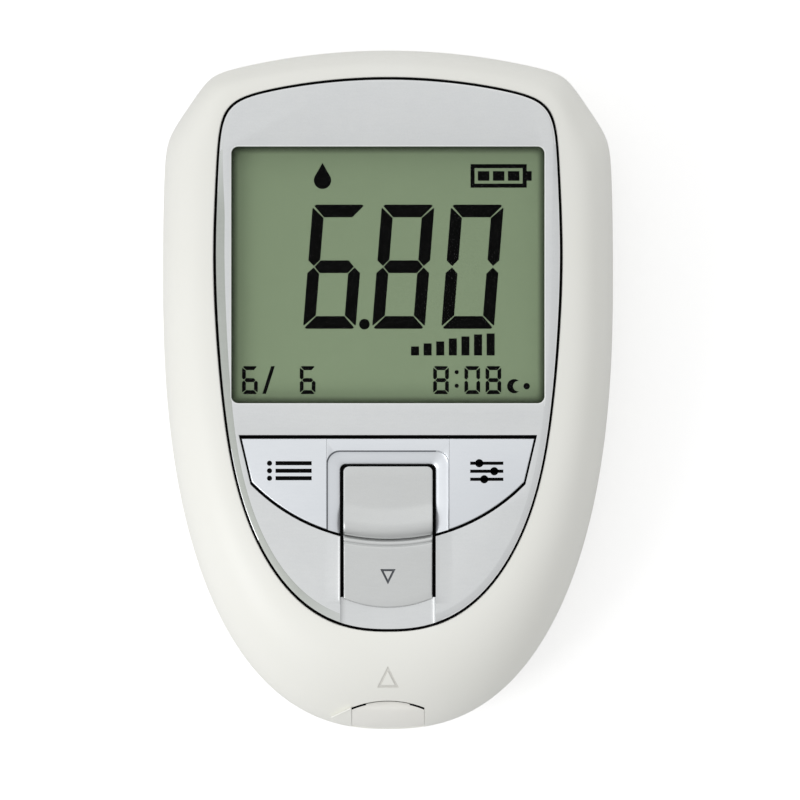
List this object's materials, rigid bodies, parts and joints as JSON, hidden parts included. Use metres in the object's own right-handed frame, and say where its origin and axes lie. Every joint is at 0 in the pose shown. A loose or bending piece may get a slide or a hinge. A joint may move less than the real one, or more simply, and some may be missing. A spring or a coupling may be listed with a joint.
{
  "type": "cholesterol meter",
  "caption": "Handheld meter with an egg-shaped housing, segment display, two keys, a thumb slider that ejects the test strip, a strip port and a battery door.",
  "frame": {"origin": "middle of the footprint, on the flat that the meter rests on", "axes": "+Z out of the display, +Y towards the display end, +X to the right as the display is read"},
  "size_m": [0.065, 0.098, 0.0243],
  "materials": {
    "ivory_plastic": "fine satin moulding",
    "silver_plastic": "satin silver coating on plastic",
    "cream_plastic": "smooth moulding",
    "clear_cover": "clear and smooth",
    "black_tape": "matt",
    "display_face": "grey-green display",
    "inner_plastic": "plain moulding",
    "connector_rubber": "layered silicone",
    "spring_steel": "nickel plated",
    "screw_steel": "zinc plated",
    "contact_brass": "gold plated",
    "circuit_board": "green solder mask",
    "chip_black": "moulded epoxy",
    "chip_brown": "small ceramic blocks",
    "cell_jacket": "printed steel jacket"
  },
  "bodies": {
    "housing": {"front_housing": "ivory_plastic", "rear_housing": "ivory_plastic", "strip_guide": "cream_plastic", "face_panel": "silver_plastic", "key_collar": "silver_plastic", "panel_tape": "black_tape", "display_window": "clear_cover", "window_tape": "black_tape", "lcd_glass": "display_face", "lcd_holder": "inner_plastic", "zebra_strips": "connector_rubber", "left_dome": "spring_steel", "right_dome": "spring_steel", "ejector_spring": "spring_steel", "strip_connector": "inner_plastic", "strip_contacts": "contact_brass", "main_board": "circuit_board", "microcontroller": "chip_black", "analog_chip": "chip_black", "crystal": "screw_steel", "passives": "chip_brown", "buzzer": "chip_black", "left_cell": "cell_jacket", "right_cell": "cell_jacket", "bridge_contact": "spring_steel", "plus_contact": "spring_steel", "minus_contact": "spring_steel", "housing_screws": "screw_steel", "board_screws": "screw_steel"},
    "left_key": {"left_key": "silver_plastic"},
    "right_key": {"right_key": "silver_plastic"},
    "slider": {"ejector_slider": "silver_plastic", "ejector_arm": "inner_plastic", "slider_screw": "screw_steel"},
    "battery_door": {"battery_door": "ivory_plastic"}
  },
  "joints": [
    {"name": "left_key_press", "type": "hinge", "parent": "housing", "child": "left_key", "pos_m": [-0.00885, -0.012, 0.0228], "axis": [0, -1, 0], "range_deg": [0, 2.4], "stiffness_Nm_per_rad": 0.3, "deforming": ["left_dome"]},
    {"name": "right_key_press", "type": "hinge", "parent": "housing", "child": "right_key", "pos_m": [0.00885, -0.012, 0.0228], "axis": [0, 1, 0], "range_deg": [0, 2.4], "stiffness_Nm_per_rad": 0.3, "deforming": ["right_dome"]},
    {"name": "ejector_slide", "type": "slide", "parent": "housing", "child": "slider", "axis": [0, -1, 0], "range_m": [0, 0.003], "stiffness_N_per_m": 400, "springref_m": -0.001, "deforming": ["ejector_spring"]},
    {"name": "battery_door_tilt", "type": "hinge", "parent": "housing", "child": "battery_door", "pos_m": [0, -0.01145, 0.00015], "axis": [-1, 0, 0], "range_deg": [0, 50]}
  ]
}
